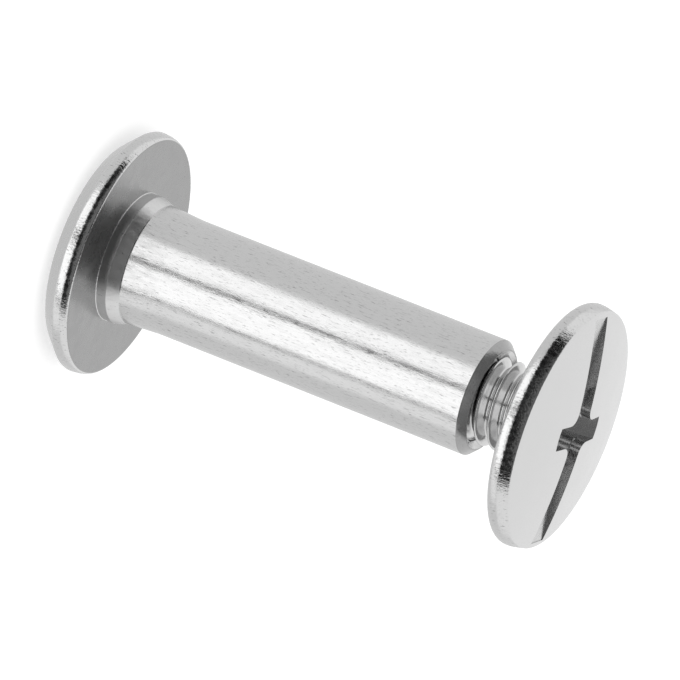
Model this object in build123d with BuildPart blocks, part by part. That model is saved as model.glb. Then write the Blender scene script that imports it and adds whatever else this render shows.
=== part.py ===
from build123d import *
import math
import os

# Binding barrel screw: a headed, internally threaded barrel and the screw that is driven
# into its mouth. It stands on the barrel's head, with the common axis along +Z and the
# origin at the centre of that head's outer face. All sizes are in millimetres.

# Driving dimensions
thread_d = 6.0              # M6: the shank is drawn at the thread's outside diameter
thread_pitch = 1.0
thread_clearance = 0.05     # radial gap between shank and bore
barrel_d = 8.0
barrel_length = 27.2        # from the underside of the head to the mouth
bore_depth = 22.0           # full-diameter depth, measured from the mouth
open_turns = 4              # turns by which the screw stands short of driven home
engaged_turns = 10
edge_break = 0.1            # small chamfer on the sharp rim edges

# Barrel head: a flat outer face, a wide bevel and a rim that narrows towards the barrel
barrel_head_d = 16.85
barrel_head_height = 2.3
barrel_rim_height = 1.0
rim_top_d = 16.4
face_d = 14.3
face_edge_radius = 0.7
bevel_edge_radius = 0.3

# Collar where the barrel leaves its head, with a long flare above it
collar_d = 8.9
collar_height = 0.75
collar_blend = 0.85
flare_d = 8.3
flare_height = 2.4

# Mouth of the barrel
mouth_chamfer = 0.5
mouth_lead_in = 0.35        # countersink of the thread's entry

# Screw head: a rim with a rounded under edge, below a low dome
screw_head_d = 16.9
screw_rim_height = 1.65
under_edge_radius = 0.55
dome_d = 16.4
dome_height = 0.8
shank_point = 0.65          # chamfer at the end of the shank

# Combination drive: a straight slot and a cross recess that share one centre
slot_width = 1.9
slot_length = 15.6
slot_floor = 0.02           # height of the slot's floor above the screw head's rim
slot_flare_radius = 0.8     # rounding where the slot opens into the cross
wing_width = 1.57
wing_span = 6.4
wing_draft = 4.0            # degrees, on the sides of the wings
wing_corner_radius = 0.9
recess_depth = 2.6          # down to the lower end of the wing tips
recess_point = 0.6          # shallow cone below them
recess_foot_d = 3.4

# Radii and heights that follow
thread_r = thread_d / 2
bore_r = thread_r + thread_clearance
barrel_r = barrel_d / 2
mouth_z = barrel_head_height + barrel_length
bore_floor_z = mouth_z - bore_depth
drill_point = bore_r / math.tan(math.radians(59))
bevel_z = barrel_head_height - barrel_rim_height
collar_z = barrel_head_height + collar_height
screw_z = mouth_z + open_turns * thread_pitch
shank_end_z = mouth_z - engaged_turns * thread_pitch
rim_z = screw_z + screw_rim_height
apex_z = rim_z + dome_height

# Barrel: turned profile from the outer face, over the head, along the barrel and down the bore
with BuildPart() as barrel:
    with BuildSketch(Plane.XZ):
        with BuildLine():
            FilletPolyline(
                (0, 0),
                (face_d / 2, 0),
                (barrel_head_d / 2, bevel_z),
                (rim_top_d / 2, barrel_head_height - edge_break),
                (rim_top_d / 2 - edge_break, barrel_head_height),
                (collar_d / 2, barrel_head_height),
                (collar_d / 2, collar_z),
                (flare_d / 2, collar_z + collar_blend),
                (barrel_r, collar_z + collar_blend + flare_height),
                (barrel_r, mouth_z - mouth_chamfer),
                (barrel_r - mouth_chamfer, mouth_z),
                (bore_r + mouth_lead_in, mouth_z),
                (bore_r, mouth_z - mouth_lead_in),
                (bore_r, bore_floor_z),
                (0, bore_floor_z - drill_point),
                radius=(face_edge_radius, bevel_edge_radius, 0, 0, 0, 0.25, 0.6, 0, 0, 0, 0, 0, 0),
            )
            Line((0, bore_floor_z - drill_point), (0, 0))
        make_face()
    revolve(axis=Axis.Z)
barrel.part.label = "barrel"

# Cross recess: four drafted wings whose tips lie on one cone, with a shallow pointed floor
with BuildPart() as recess:
    with BuildSketch(Plane.XY.offset(apex_z)):
        Rectangle(wing_span + 1, wing_width)
        Rectangle(wing_width, wing_span + 1)
        fillet(vertices().sort_by(SortBy.DISTANCE)[:4], wing_corner_radius)
    extrude(amount=-(recess_depth + recess_point), taper=wing_draft)
    with BuildSketch(Plane.XZ):
        with BuildLine():
            Polyline(
                (0, apex_z),
                (wing_span / 2, apex_z),
                (recess_foot_d / 2, apex_z - recess_depth),
                (0, apex_z - recess_depth - recess_point),
                close=True,
            )
        make_face()
    revolve(axis=Axis.Z, mode=Mode.INTERSECT)

# Slot: nearly as long as the face is wide, so its level floor runs out on the dome's edge.
# Its walls are rounded off where they meet the wings that lie across it.
with BuildPart() as slot:
    with BuildSketch(Plane.XY.offset(rim_z + slot_floor)):
        Rectangle(slot_length, slot_width)
        Rectangle(wing_width, slot_width + 2 * slot_flare_radius)
        fillet(vertices().sort_by(SortBy.DISTANCE)[:4], 0.98 * slot_flare_radius)
    extrude(amount=dome_height)

# Screw: turned profile from the dome's apex down to the shank's end, then the drive is cut
with BuildPart() as screw:
    with BuildSketch(Plane.XZ):
        with BuildLine():
            TangentArc((0, apex_z), (dome_d / 2 - edge_break, rim_z), tangent=(1, 0))
            FilletPolyline(
                (dome_d / 2 - edge_break, rim_z),
                (dome_d / 2, rim_z - edge_break),
                (screw_head_d / 2, screw_z),
                (thread_r, screw_z),
                (thread_r, shank_end_z + shank_point),
                (thread_r - shank_point, shank_end_z),
                (0, shank_end_z),
                radius=(0, under_edge_radius, 0, 0, 0),
            )
            Line((0, shank_end_z), (0, apex_z))
        make_face()
    revolve(axis=Axis.Z)
    add(slot.part, mode=Mode.SUBTRACT)
    add(recess.part, mode=Mode.SUBTRACT)
screw.part.label = "screw"

os.makedirs("parts", exist_ok=True)
export_step(barrel.part, "parts/barrel.step")
export_step(screw.part, "parts/screw.step")
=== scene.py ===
import math

import bmesh
import bpy
from mathutils import Matrix, Vector


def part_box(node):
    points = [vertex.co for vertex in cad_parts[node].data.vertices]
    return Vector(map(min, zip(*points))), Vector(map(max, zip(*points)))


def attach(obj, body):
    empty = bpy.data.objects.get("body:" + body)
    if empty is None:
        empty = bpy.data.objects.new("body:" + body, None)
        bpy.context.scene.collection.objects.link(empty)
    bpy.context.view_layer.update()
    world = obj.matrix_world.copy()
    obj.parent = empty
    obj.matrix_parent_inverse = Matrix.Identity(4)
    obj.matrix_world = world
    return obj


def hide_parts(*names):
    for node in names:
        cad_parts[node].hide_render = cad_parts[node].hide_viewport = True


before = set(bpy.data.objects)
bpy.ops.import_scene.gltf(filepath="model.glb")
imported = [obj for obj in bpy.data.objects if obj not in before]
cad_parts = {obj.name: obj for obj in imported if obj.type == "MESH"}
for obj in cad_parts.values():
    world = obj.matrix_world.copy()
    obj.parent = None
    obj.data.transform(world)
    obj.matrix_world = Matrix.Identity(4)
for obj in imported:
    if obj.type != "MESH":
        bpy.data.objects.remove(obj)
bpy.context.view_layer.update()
print("frame loaded:", ", ".join(sorted(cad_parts)))

# sizes below are in millimetres, as on a turner's drawing; a mesh is scaled to metres once it is whole
mm = 0.001
weldDistance = 2e-6     # metres
turnSegments = 144      # round the axis; skins and threads share it, so their rings weld
mouthZ = round(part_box("barrel")[1].z / mm, 3)
shankEndZ = round(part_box("screw")[0].z / mm, 3)


def roundCorners(corners, step=12):
    # corners are (radius, height, rounding); gives the outline with each rounding in runs of step degrees
    line = []
    for i, (r, z, bend) in enumerate(corners):
        here = Vector((r, z))
        if not bend:
            line.append(here)
            continue
        back = (Vector(corners[i - 1][:2]) - here).normalized()
        ahead = (Vector(corners[i + 1][:2]) - here).normalized()
        half = back.angle(ahead) / 2
        centre = here + (back + ahead).normalized() * (bend / math.sin(half))
        first = (here + back * (bend / math.tan(half)) - centre).normalized()
        last = (here + ahead * (bend / math.tan(half)) - centre).normalized()
        count = max(3, math.ceil(math.degrees(first.angle(last)) / step))
        line += [centre + first.slerp(last, k / count) * bend for k in range(count + 1)]
    return line


def turnOutline(bm, line):
    # revolves an outline about the axis; a point on the axis becomes one closed pole
    rings = []
    for r, z in line:
        if not r:
            rings.append([bm.verts.new((0, 0, z))])
            continue
        angles = [2 * math.pi * k / turnSegments for k in range(turnSegments)]
        rings.append([bm.verts.new((r * math.cos(a), r * math.sin(a), z)) for a in angles])
    for low, high in zip(rings, rings[1:]):
        for k in range(turnSegments):
            n = (k + 1) % turnSegments
            if len(low) == 1:
                bm.faces.new((low[0], high[n], high[k]))
            elif len(high) == 1:
                bm.faces.new((low[k], low[n], high[0]))
            else:
                bm.faces.new((low[k], low[n], high[n], high[k]))


def newObject(name, mesh):
    piece = bpy.data.objects.new(name, mesh)
    bpy.context.scene.collection.objects.link(piece)
    return piece


def applied(piece):
    # the evaluated result as a plain mesh, with no modifier left on the piece
    depsgraph = bpy.context.evaluated_depsgraph_get()
    mesh = bpy.data.meshes.new_from_object(piece.evaluated_get(depsgraph))
    piece.modifiers.clear()
    piece.data = mesh
    return piece


# threads, as a Geometry Nodes tree: a grid is rolled round the axis along a right-hand helix,
# so its rows run exactly along crest and root, and both ends close on plain circles

def threadTree(name, inside, material):
    tree = bpy.data.node_groups.new(name, "GeometryNodeTree")
    sockets = tree.interface
    sockets.new_socket("Geometry", in_out="INPUT", socket_type="NodeSocketGeometry")
    for label in ("Rows", "Segments"):
        sockets.new_socket(label, in_out="INPUT", socket_type="NodeSocketInt")
    # the ends are radii, and the slopes are how fast the radius changes with height from there
    for label in ("Pitch", "Bottom", "Top", "Flank Tip", "Crest", "Root", "Rounding",
                  "Low End", "Low Slope", "High End", "High Slope"):
        sockets.new_socket(label, in_out="INPUT", socket_type="NodeSocketFloat")
    sockets.new_socket("Geometry", in_out="OUTPUT", socket_type="NodeSocketGeometry")
    nodes, links = tree.nodes, tree.links
    given = nodes.new("NodeGroupInput").outputs

    def calc(operation, *values):
        node = nodes.new("ShaderNodeMath")
        node.operation = operation
        for socket, value in zip(node.inputs, values):
            if isinstance(value, (int, float)):
                socket.default_value = value
            else:
                links.new(value, socket)
        return node.outputs[0]

    grid = nodes.new("GeometryNodeMeshGrid")
    grid.inputs["Size X"].default_value = 1
    grid.inputs["Size Y"].default_value = 1
    links.new(calc("ADD", given["Segments"], 1), grid.inputs["Vertices X"])
    links.new(given["Rows"], grid.inputs["Vertices Y"])
    place = nodes.new("ShaderNodeSeparateXYZ")
    links.new(nodes.new("GeometryNodeInputPosition").outputs[0], place.inputs[0])
    around = calc("ADD", place.outputs["X"], 0.5)
    upward = calc("ADD", place.outputs["Y"], 0.5)

    pitch, bottom, top = given["Pitch"], given["Bottom"], given["Top"]
    length = calc("ADD", calc("SUBTRACT", top, bottom), pitch)
    along = calc("ADD", calc("SUBTRACT", bottom, pitch), calc("MULTIPLY", upward, length))
    helix = calc("ADD", along, calc("MULTIPLY", around, pitch))
    height = calc("MINIMUM", calc("MAXIMUM", helix, bottom), top)
    phase = calc("FRACT", calc("DIVIDE", along, pitch))
    fromCrest = calc("MULTIPLY", calc("ABSOLUTE", calc("SUBTRACT", phase, 0.5)), pitch)
    flank = calc("SUBTRACT", given["Flank Tip"], calc("MULTIPLY", fromCrest, math.sqrt(3)))
    form = calc("SMOOTH_MIN", flank, given["Crest"], given["Rounding"])
    form = calc("SMOOTH_MAX", form, given["Root"], given["Rounding"])
    lowEnd = calc("MULTIPLY_ADD", calc("SUBTRACT", height, bottom), given["Low Slope"], given["Low End"])
    highEnd = calc("MULTIPLY_ADD", calc("SUBTRACT", top, height), given["High Slope"], given["High End"])
    trim = "MAXIMUM" if inside else "MINIMUM"
    radius = calc(trim, calc(trim, form, lowEnd), highEnd)
    angle = calc("MULTIPLY", around, 2 * math.pi)
    rolled = nodes.new("ShaderNodeCombineXYZ")
    links.new(calc("MULTIPLY", radius, calc("COSINE", angle)), rolled.inputs["X"])
    links.new(calc("MULTIPLY", radius, calc("SINE", angle)), rolled.inputs["Y"])
    links.new(height, rolled.inputs["Z"])

    move = nodes.new("GeometryNodeSetPosition")
    links.new(grid.outputs["Mesh"], move.inputs["Geometry"])
    links.new(rolled.outputs[0], move.inputs["Position"])
    seam = nodes.new("GeometryNodeMergeByDistance")
    seam.inputs["Distance"].default_value = weldDistance / 2
    links.new(move.outputs[0], seam.inputs["Geometry"])
    real = nodes.new("GeometryNodeRealizeInstances")
    links.new(seam.outputs[0], real.inputs[0])
    finish = nodes.new("GeometryNodeSetMaterial")
    finish.inputs["Material"].default_value = material
    links.new(real.outputs[0], finish.inputs["Geometry"])
    links.new(finish.outputs[0], nodes.new("NodeGroupOutput").inputs[0])
    return tree


def threadMesh(name, inside, values, material):
    # sizes come in millimetres and counts as whole numbers; the slopes have no unit
    tree = threadTree(name + "Tree", inside, material)
    holder = newObject(name, bpy.data.meshes.new(name))
    roll = holder.modifiers.new("roll", "NODES")
    roll.node_group = tree
    for item in tree.interface.items_tree:
        if item.in_out == "INPUT" and item.name in values:
            value = values[item.name]
            roll[item.identifier] = value if isinstance(value, int) else value * mm
    for slope in ("Low Slope", "High Slope"):
        item = tree.interface.items_tree[slope]
        roll[item.identifier] = float(values[slope])
    mesh = applied(holder).data
    bpy.data.objects.remove(holder)
    return mesh


# plated steel finishes, with painted shade in the underside's, mouth's and drive's base colour and painted
# light in the collar's;
# grain is the finest mark and streak the broader one, both in mm, run is how much longer they are along the
# axis than round it, and relief is in micrometres
finishValues = {
    "drawnBarrel": {"shade": 0.66, "dark": 0.34, "roughness": (0.14, 0.26), "grain": 0.08, "streak": 0.24,
                    "run": 6, "grainRelief": 4.2, "streakRelief": 5.0, "marks": 0.6},
    "tumbledRim": {"shade": 0.66, "dark": 0.2, "roughness": (0.10, 0.2), "grain": 0.11, "streak": 0.26,
                   "run": 3, "grainRelief": 13.0, "streakRelief": 14.0, "marks": 0.5},
    "turnedBevel": {"shade": 0.60, "dark": 0.5, "roughness": (0.22, 0.3), "grain": 0.12, "streak": 0.5,
                    "run": 1, "grainRelief": 0.5, "streakRelief": 1.0, "marks": 0.2},
    # base colour darkened as painted shade under the heads and between the parts; the dullness itself is in
    # the roughness
    "dullUndersidePaintedShade": {"shade": 0.33, "dark": 0.22, "roughness": (0.24, 0.32), "grain": 0.18, "streak": 0.9,
                      "run": 1, "grainRelief": 0.6, "streakRelief": 1.5, "marks": 0.3},
    # base colour lightened as painted light on the collar; the turned finish itself is in the roughness and
    # grain
    "turnedCollarPaintedLight": {"shade": 0.72, "dark": 0.4, "roughness": (0.3, 0.42), "grain": 0.10, "streak": 0.35,
                     "run": 3, "grainRelief": 6.5, "streakRelief": 8.0, "marks": 0.4},
    # base colour darkened as painted shade: the mouth's chamfer and end carry a painted dark reflection
    "cutMouthPaintedShade": {"shade": 0.36, "dark": 0.1, "roughness": (0.12, 0.25), "grain": 0.10, "streak": 0.25,
                 "run": 2, "grainRelief": 5.0, "streakRelief": 6.0, "marks": 0.4},
    "threadSteel": {"shade": 0.62, "dark": 0.4, "roughness": (0.12, 0.24), "grain": 0.1, "streak": 0.4,
                    "run": 1, "grainRelief": 1.0, "streakRelief": 2.0, "marks": 0.3},
    "smoothDome": {"shade": 0.66, "dark": 0.6, "roughness": (0.2, 0.26), "grain": 0.15, "streak": 1.6,
                   "run": 1, "grainRelief": 0.15, "streakRelief": 0.8, "marks": 0.15},
    # base colour a little darker than the dome's, as painted shade in the slot and recess
    "pressedDrivePaintedShade": {"shade": 0.6, "dark": 0.35, "roughness": (0.2, 0.32), "grain": 0.12, "streak": 0.4,
                     "run": 1, "grainRelief": 1.5, "streakRelief": 2.5, "marks": 0.4},
}


def platedFinish(name):
    v = finishValues[name]
    finish = bpy.data.materials.new(name)
    finish.use_nodes = True
    nodes, links = finish.node_tree.nodes, finish.node_tree.links
    steel = nodes["Principled BSDF"]
    steel.inputs["Metallic"].default_value = 1
    place = nodes.new("ShaderNodeTexCoord").outputs["Object"]
    along = nodes.new("ShaderNodeMapping")
    along.inputs["Scale"].default_value = (1, 1, 1 / v["run"])
    links.new(place, along.inputs["Vector"])
    marks = {}
    for kind, detail in (("grain", 2), ("streak", 3)):
        noise = nodes.new("ShaderNodeTexNoise")
        noise.inputs["Scale"].default_value = 1 / (v[kind] * mm)
        noise.inputs["Detail"].default_value = detail
        noise.inputs["Roughness"].default_value = 0.6
        links.new(along.outputs[0], noise.inputs["Vector"])
        marks[kind] = noise.outputs["Fac"]
    normal = None
    for kind in ("streak", "grain"):
        bump = nodes.new("ShaderNodeBump")
        bump.inputs["Strength"].default_value = 1
        bump.inputs["Distance"].default_value = v[kind + "Relief"] * 1e-6
        links.new(marks[kind], bump.inputs["Height"])
        if normal:
            links.new(normal, bump.inputs["Normal"])
        normal = bump.outputs[0]
    links.new(normal, steel.inputs["Normal"])
    # noise stays mostly between 0.35 and 0.65
    spread = nodes.new("ShaderNodeMapRange")
    spread.inputs["From Min"].default_value = 0.35
    spread.inputs["From Max"].default_value = 0.65
    spread.inputs["To Min"].default_value, spread.inputs["To Max"].default_value = v["roughness"]
    links.new(marks["streak"], spread.inputs["Value"])
    links.new(spread.outputs[0], steel.inputs["Roughness"])
    # only the grain's lowest hollows are dark, and marks says how softly they fade out
    shade = nodes.new("ShaderNodeValToRGB")
    low, high = shade.color_ramp.elements
    low.position, high.position = 0.24, 0.24 + 0.3 * v["marks"]
    low.color = (v["dark"], v["dark"], v["dark"], 1)
    high.color = (v["shade"], v["shade"], v["shade"], 1)
    links.new(marks["grain"], shade.inputs["Fac"])
    links.new(shade.outputs[0], steel.inputs["Base Color"])
    return finish


finishes = {name: platedFinish(name) for name in finishValues}
print("finishes made:", len(finishes))

# barrel: the outline runs from the outer face's centre, over the head and up the barrel to the mouth,
# and a second one closes the bore below its thread
barrelValues = {
    "headWidth": 16.85, "headHeight": 2.3, "rimHeight": 1.0, "rimTopWidth": 16.46,
    "faceWidth": 14.3, "faceRounding": 0.7, "bevelRounding": 0.35,
    "rimCrown": 0.05, "crownHeight": 0.55, "crownRounding": 1.2, "rimEdge": 0.22,
    "collarWidth": 8.9, "collarHeight": 0.75, "collarRoot": 0.06, "collarEdge": 0.12, "collarRun": 0.85,
    "flareWidth": 8.3, "flareHeight": 2.4, "flareRounding": 0.6, "flareFade": 1.5,
    "width": 8.0, "mouthChamfer": 0.5, "mouthEdge": 0.07,
    "boreWidth": 6.1, "boreDepth": 22.0, "drillAngle": 118.0,
    "tappedWidth": 5.0, "tappedDepth": 20.5, "tapLeadIn": 0.35, "rowsPerTurn": 12,
    "rimFinish": 1.1,           # the rim's finish starts this far below the head's underside
}
threadValues = {"pitch": 1.0, "width": 6.0, "rootWidth": 4.78, "fit": 0.06, "rounding": 0.13}


def buildBarrel():
    v, t = barrelValues, threadValues
    head, mouth, side = v["headHeight"], mouthZ, v["width"] / 2
    collar = head + v["collarHeight"]
    bore, entry = v["boreWidth"] / 2, v["boreWidth"] / 2 + v["tapLeadIn"]
    boreFloor, tapped = mouth - v["boreDepth"], mouth - v["tappedDepth"]
    rim = v["rimTopWidth"] / 2
    outside = roundCorners([
        (0, 0, 0),
        (v["faceWidth"] / 2, 0, v["faceRounding"]),
        (v["headWidth"] / 2, head - v["rimHeight"], v["bevelRounding"]),
        ((v["headWidth"] / 2 + rim) / 2 + v["rimCrown"], head - v["rimHeight"] + v["crownHeight"],
         v["crownRounding"]),
        (rim, head, v["rimEdge"]),
        (v["collarWidth"] / 2, head, v["collarRoot"]),
        (v["collarWidth"] / 2, collar, v["collarEdge"]),
        (v["flareWidth"] / 2, collar + v["collarRun"], v["flareRounding"]),
        (side, collar + v["collarRun"] + v["flareHeight"], v["flareFade"]),
        (side, mouth - v["mouthChamfer"], v["mouthEdge"]),
        (side - v["mouthChamfer"], mouth, v["mouthEdge"]),
        (entry, mouth, 0),
    ])
    drill = bore / math.tan(math.radians(v["drillAngle"] / 2))
    below = [(bore, tapped), (bore, boreFloor), (0, boreFloor - drill)]
    tap = {
        "Rows": round((mouth - tapped + t["pitch"]) * v["rowsPerTurn"] / t["pitch"]) + 1,
        "Segments": turnSegments, "Pitch": t["pitch"], "Bottom": tapped, "Top": mouth,
        "Flank Tip": t["width"] / 2 + t["pitch"] * math.sqrt(3) / 16 + t["fit"],
        "Crest": bore, "Root": v["tappedWidth"] / 2, "Rounding": t["rounding"],
        "Low End": bore, "Low Slope": -1, "High End": entry, "High Slope": -1,
    }
    bm = bmesh.new()
    turnOutline(bm, outside)
    turnOutline(bm, below)
    bmesh.ops.scale(bm, vec=(mm, mm, mm), verts=bm.verts)
    bm.from_mesh(threadMesh("tappedBore", True, tap, finishes["threadSteel"]))
    return closeShell(bm, "headedBarrel")


def closeShell(bm, name):
    bmesh.ops.remove_doubles(bm, verts=bm.verts, dist=weldDistance)
    bmesh.ops.recalc_face_normals(bm, faces=bm.faces)
    openEdges = sum(not edge.is_manifold for edge in bm.edges)
    mesh = bpy.data.meshes.new(name)
    bm.to_mesh(mesh)
    bm.free()
    print(f"{name}: {len(mesh.polygons)} faces, {openEdges} open edges")
    return newObject(name, mesh)


# screw: one outline for the head and its dome, a short one for the shank's end and the thread between them;
# the drive is cut out afterwards
screwValues = {
    "headGap": 4.0,             # barrel's mouth to the screw's head
    "headWidth": 16.9, "rimHeight": 1.65, "underWidth": 16.86, "underEdge": 0.6,
    "rimCrown": 0.05, "crownHeight": 0.9075, "crownRounding": 1.2,
    "domeWidth": 16.4, "domeHeight": 0.8, "domeEdge": 0.12, "domeRings": 24,
    "pointWidth": 4.7,          # chamfered end of the shank
    "runoutSlope": 1.2,         # how fast the thread fades under the head
    "rowsPerTurn": 16,
    "rimFinish": 0.15,          # the rim's finish comes in this far from the dome's edge
}
driveValues = {
    "slotWidth": 1.9, "slotLength": 15.6, "slotFloor": 0.02, "slotFlare": 0.8,
    "flareShare": 0.98,         # the flare's arc stops a hair short of the wing's side
    "wingWidth": 1.57, "wingSpan": 6.4, "wingDraft": 4.0, "wingCorner": 0.9,
    "wingOverrun": 0.5,         # the wings are drawn long, and the cone trims their tips
    "recessDepth": 2.6, "recessPoint": 0.6, "recessFoot": 3.4,
    "cutterRise": 1.0, "coneRise": 1.2, "cutterDrop": 0.2,
}


def screwHeights():
    # the head's underside, the top of its rim and the dome's highest point
    under = mouthZ + screwValues["headGap"]
    rimTop = under + screwValues["rimHeight"]
    return under, rimTop, rimTop + screwValues["domeHeight"]


def domeBall():
    # radius of the ball that the dome is a cap of
    half, rise = screwValues["domeWidth"] / 2, screwValues["domeHeight"]
    return (half ** 2 + rise ** 2) / (2 * rise)


def buildScrew():
    v, t = screwValues, threadValues
    under, rimTop, apex = screwHeights()
    root, point = t["rootWidth"] / 2, v["pointWidth"] / 2
    half, ball = v["domeWidth"] / 2, domeBall()
    spread = math.asin(half / ball)
    leans = [spread * k / v["domeRings"] for k in range(v["domeRings"] - 1, 0, -1)]
    dome = [(ball * math.sin(lean), apex - ball + ball * math.cos(lean), 0) for lean in leans]
    outside = roundCorners([
        (root, under, 0),
        (v["underWidth"] / 2, under, v["underEdge"]),
        ((v["headWidth"] / 2 + half) / 2 + v["rimCrown"], under + v["crownHeight"], v["crownRounding"]),
        (half, rimTop, v["domeEdge"]),
        *dome,
        (0, apex, 0),
    ])
    end = [(0, shankEndZ), (point, shankEndZ)]
    roll = {
        "Rows": round((under - shankEndZ + t["pitch"]) * v["rowsPerTurn"] / t["pitch"]) + 1,
        "Segments": turnSegments, "Pitch": t["pitch"], "Bottom": shankEndZ, "Top": under,
        "Flank Tip": t["width"] / 2 + t["pitch"] * math.sqrt(3) / 16,
        "Crest": t["width"] / 2, "Root": root, "Rounding": t["rounding"],
        "Low End": point, "Low Slope": 1, "High End": root, "High Slope": v["runoutSlope"],
    }
    bm = bmesh.new()
    turnOutline(bm, outside)
    turnOutline(bm, end)
    bmesh.ops.scale(bm, vec=(mm, mm, mm), verts=bm.verts)
    bm.from_mesh(threadMesh("rolledThread", False, roll, finishes["threadSteel"]))
    screw = closeShell(bm, "driveScrew")
    cutDrive(screw, rimTop, apex)
    return screw


def cutDrive(screw, rimTop, apex):
    # the slot runs out on the dome's edge; the wings are drafted, and a cone trims their tips and floor
    d = driveValues
    top, coneTop = apex + d["cutterRise"], apex + d["coneRise"]
    slot = prism("slotCutter", slotOutline(), rimTop + d["slotFloor"], slotOutline(), top)
    deep = d["recessDepth"] + d["recessPoint"] + d["cutterDrop"]
    lean = math.tan(math.radians(d["wingDraft"]))
    recess = prism("wingCutter", crossOutline(deep * lean), apex - deep,
                   crossOutline(-d["cutterRise"] * lean), top)
    spread = (d["wingSpan"] - d["recessFoot"]) / 2 / d["recessDepth"]
    cone = bmesh.new()
    turnOutline(cone, [
        (0, apex - d["recessDepth"] - d["recessPoint"]),
        (d["recessFoot"] / 2, apex - d["recessDepth"]),
        (d["wingSpan"] / 2 + d["coneRise"] * spread, coneTop),
        (0, coneTop),
    ])
    bmesh.ops.scale(cone, vec=(mm, mm, mm), verts=cone.verts)
    tips = closeShell(cone, "tipCutter")
    combine(recess, tips, "INTERSECT")
    combine(screw, slot, "DIFFERENCE")
    combine(screw, recess, "DIFFERENCE")
    for cutter in (slot, recess, tips):
        bpy.data.objects.remove(cutter)
    print("slot and recess cut")


def arc(cx, cy, radius, start, end, count=8):
    angles = [math.radians(start + (end - start) * k / count) for k in range(count + 1)]
    return [(cx + radius * math.cos(a), cy + radius * math.sin(a)) for a in angles]


def fourfold(quarter):
    # mirrors a quarter outline, given from the +X side round to the +Y side, into the whole
    left = [(-x, y) for x, y in reversed(quarter)]
    lower = [(-x, -y) for x, y in quarter]
    right = [(x, -y) for x, y in reversed(quarter)]
    return quarter + left + lower + right


def slotOutline():
    d = driveValues
    side, wing, bend = d["slotWidth"] / 2, d["wingWidth"] / 2, d["flareShare"] * d["slotFlare"]
    return fourfold([
        (d["slotLength"] / 2, side),
        *arc(wing + bend, side + bend, bend, 270, 180),
        (wing, side + d["slotFlare"]),
    ])


def crossOutline(inward):
    # the wings' outline, drawn in by the draft
    d = driveValues
    wing, corner = d["wingWidth"] / 2, d["wingCorner"]
    reach = d["wingSpan"] / 2 + d["wingOverrun"] - inward
    return fourfold([
        (reach, wing - inward),
        *arc(wing + corner, wing + corner, corner + inward, 270, 180),
        (wing - inward, reach),
    ])


def prism(name, lowOutline, lowZ, highOutline, highZ):
    bm = bmesh.new()
    low = [bm.verts.new((x * mm, y * mm, lowZ * mm)) for x, y in lowOutline]
    high = [bm.verts.new((x * mm, y * mm, highZ * mm)) for x, y in highOutline]
    bm.faces.new(list(reversed(low)))
    bm.faces.new(high)
    for k in range(len(low)):
        n = (k + 1) % len(low)
        bm.faces.new((low[k], low[n], high[n], high[k]))
    return closeShell(bm, name)


def combine(piece, cutter, operation):
    cut = piece.modifiers.new("cut", "BOOLEAN")
    cut.operation = operation
    cut.object = cutter
    cut.solver = "EXACT"
    applied(piece)


zoneSlack = 0.02       # how far a face's centre may lie from the line between two finishes


def barrelZone(r, z, facing):
    v = barrelValues
    head = v["headHeight"]
    if z < head - v["rimFinish"]:
        return "turnedBevel"
    if z < head - zoneSlack:
        return "tumbledRim"
    # the head's underside takes a finish with painted shade in its base colour
    if z < head + zoneSlack and facing > 0.9:
        return "dullUndersidePaintedShade"
    if r < v["boreWidth"] / 2 + v["tapLeadIn"] - zoneSlack / 2:
        return "threadSteel"
    # the mouth's finish carries painted shade in its base colour
    if z > mouthZ - v["mouthChamfer"] - zoneSlack:
        return "cutMouthPaintedShade"
    # the collar's finish carries painted light in its base colour
    return "turnedCollarPaintedLight" if z < head + v["collarHeight"] + v["collarRun"] else "drawnBarrel"


def screwZone(r, z, facing):
    under, rimTop, apex = screwHeights()
    rim, ball = screwValues["domeWidth"] / 2 - screwValues["rimFinish"], domeBall()
    # the screw head's underside takes a finish with painted shade in its base colour
    if z < under + zoneSlack / 2:
        return "threadSteel" if r < threadValues["width"] / 2 + 0.1 else "dullUndersidePaintedShade"
    offDome = abs(math.hypot(r, z - (apex - ball)) - ball)
    if offDome < zoneSlack / 2 and z > rimTop - 2 * zoneSlack:
        return "smoothDome"
    # the slot's and recess's finish carries painted shade in its base colour
    return "tumbledRim" if r > rim else "pressedDrivePaintedShade"


sharpAngle = 40        # degrees; a steeper bend than this shows as a crisp edge


def finishPiece(piece, zone, body, node):
    # zone tells each face's finish from its radius, its height and how far it faces up
    mesh = piece.data
    mesh.materials.clear()
    order = []
    for face in mesh.polygons:
        x, y, z = face.center / mm
        name = zone(math.hypot(x, y), z, face.normal.z)
        if name not in order:
            order.append(name)
            mesh.materials.append(finishes[name])
        face.material_index = order.index(name)
    mesh.shade_smooth()
    mesh.set_sharp_from_angle(angle=math.radians(sharpAngle))
    even = piece.modifiers.new("even", "WEIGHTED_NORMAL")
    even.keep_sharp = True
    applied(piece)
    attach(piece, body)
    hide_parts(node)
    print(f"{piece.name}: {len(piece.data.polygons)} faces ride on {body}")


barrel = buildBarrel()
screw = buildScrew()
finishPiece(barrel, barrelZone, "barrel", "barrel")
finishPiece(screw, screwZone, "screw", "screw")

# camera
cameraValues = {
    "azimuth": 74.2,        # degrees from +X; the slot lies 16 degrees off the view's level line
    "elevation": 20.25,
    "roll": 111.58,         # the pair lies across the view, screw head to the lower right
    "lens": 635.0,          # long lens from far off, so nearly no perspective
    "distance": 0.7836,
    "aimHeight": 18.18,     # mm up the axis
}


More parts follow.
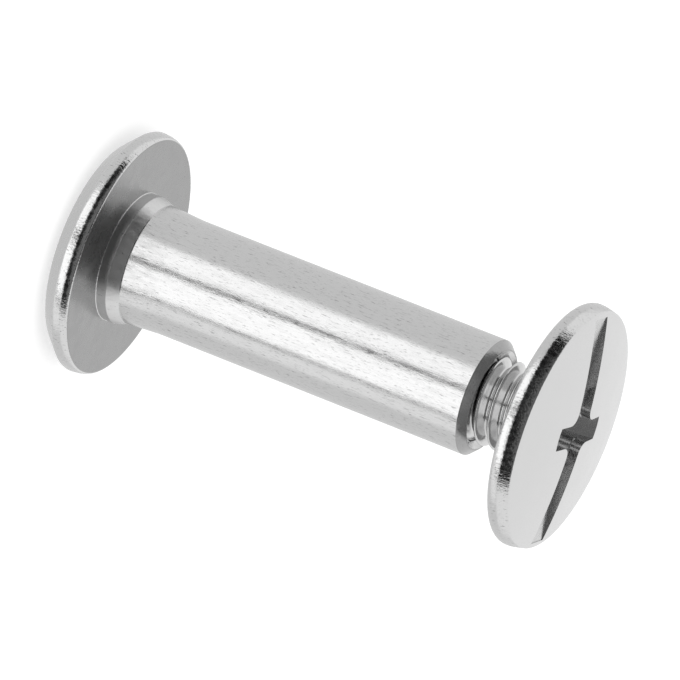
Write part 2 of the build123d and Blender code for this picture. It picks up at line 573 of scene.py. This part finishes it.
def addCamera():
    v = cameraValues
    az, el, roll = (math.radians(v[k]) for k in ("azimuth", "elevation", "roll"))
    toCamera = Vector((math.cos(az) * math.cos(el), math.sin(az) * math.cos(el), math.sin(el)))
    levelRight = Vector((-math.sin(az), math.cos(az), 0))
    levelUp = toCamera.cross(levelRight)
    right = levelUp * math.sin(roll) + levelRight * math.cos(roll)
    up = levelUp * math.cos(roll) - levelRight * math.sin(roll)
    camera = bpy.data.objects.new("productCamera", bpy.data.cameras.new("productCamera"))
    bpy.context.scene.collection.objects.link(camera)
    camera.data.lens = v["lens"]
    camera.data.clip_end = 10
    turn = Matrix((right, up, toCamera)).transposed()
    aim = Vector((0, 0, v["aimHeight"] * mm))
    camera.matrix_world = Matrix.Translation(aim + toCamera * v["distance"]) @ turn.to_4x4()
    bpy.context.scene.camera = camera
    print("camera placed")


addCamera()

# studio: a white room, and round the pair a light tent of panels that only show in the metal;
# each panel is (from, to azimuth, from, to elevation, level, distance in mm), in degrees
tentPanels = {
    "lowerCloth": (-180, 180, -90, -6, 0.78, 560),
    "leftSoftbox": (30, 70, -75, -9, 1.45, 520),
    "rightSoftbox": (78, 131, -75, -9, 1.50, 520),
    "endSoftbox": (137, 165, -75, -9, 1.05, 520),
    "cameraSide": (-12, 146, 8, 84, 0.18, 490),
    "upperGap": (-12, 146, 56, 84, 0.02, 485),
    "blackStrip": (-8, 142, -8, 12, 0.01, 480),
    "middleGap": (70, 78, -75, -8, 0.05, 500),
    "endGap": (131, 137, -75, -8, 0.3, 500),
}
tentValues = {"middle": 18, "panelStep": 6}     # centre's height in mm, a panel's facets in degrees
floorValues = {"size": 4.0, "shade": 0.82, "cameraGlow": 0.38}


def glowing(name, level):
    card = bpy.data.materials.new(name)
    card.use_nodes = True
    nodes = card.node_tree.nodes
    nodes.clear()
    glow = nodes.new("ShaderNodeEmission")
    glow.inputs["Strength"].default_value = level
    card.node_tree.links.new(glow.outputs[0], nodes.new("ShaderNodeOutputMaterial").inputs["Surface"])
    return card


def addTent():
    middle, step = Vector((0, 0, tentValues["middle"])), tentValues["panelStep"]
    for name, (azFrom, azTo, elFrom, elTo, level, distance) in tentPanels.items():
        across = max(2, round((azTo - azFrom) / step))
        upward = max(2, round((elTo - elFrom) / step))
        bm = bmesh.new()
        rows = []
        for j in range(upward + 1):
            el = math.radians(elFrom + (elTo - elFrom) * j / upward)
            row = []
            for i in range(across + 1):
                az = math.radians(azFrom + (azTo - azFrom) * i / across)
                way = Vector((math.cos(az) * math.cos(el), math.sin(az) * math.cos(el), math.sin(el)))
                row.append(bm.verts.new((middle + way * distance) * mm))
            rows.append(row)
        for low, high in zip(rows, rows[1:]):
            for i in range(across):
                bm.faces.new((low[i], high[i], high[i + 1], low[i + 1]))
        mesh = bpy.data.meshes.new(name)
        bm.to_mesh(mesh)
        bm.free()
        mesh.materials.append(glowing(name, level))
        panel = newObject(name, mesh)
        panel.visible_camera = False
        panel.visible_diffuse = False
        panel.visible_shadow = False
        panel.visible_transmission = False


def addFloor():
    v = floorValues
    bm = bmesh.new()
    bmesh.ops.create_grid(bm, x_segments=1, y_segments=1, size=v["size"] / 2)
    mesh = bpy.data.meshes.new("paleFloor")
    bm.to_mesh(mesh)
    bm.free()
    pale = bpy.data.materials.new("paleFloor")
    pale.use_nodes = True
    nodes, links = pale.node_tree.nodes, pale.node_tree.links
    surface = nodes["Principled BSDF"]
    surface.inputs["Base Color"].default_value = (v["shade"], v["shade"], v["shade"], 1)
    surface.inputs["Roughness"].default_value = 0.9
    surface.inputs["Specular IOR Level"].default_value = 0
    surface.inputs["Emission Color"].default_value = (1, 1, 1, 1)
    seen = nodes.new("ShaderNodeLightPath")
    lift = nodes.new("ShaderNodeMath")
    lift.operation = "MULTIPLY"
    lift.inputs[1].default_value = v["cameraGlow"]
    links.new(seen.outputs["Is Camera Ray"], lift.inputs[0])
    links.new(lift.outputs[0], surface.inputs["Emission Strength"])
    mesh.materials.append(pale)
    floor = newObject("paleFloor", mesh)
    floor.visible_glossy = False
    floor.visible_shadow = False


def addRoom():
    room = bpy.data.worlds.new("whiteRoom")
    bpy.context.scene.world = room
    room.use_nodes = True
    light = room.node_tree.nodes["Background"]
    light.inputs["Color"].default_value = (1, 1, 1, 1)
    light.inputs["Strength"].default_value = 1
    bpy.context.scene.view_settings.view_transform = "Standard"
    print("studio set")


addTent()
addFloor()
addRoom()
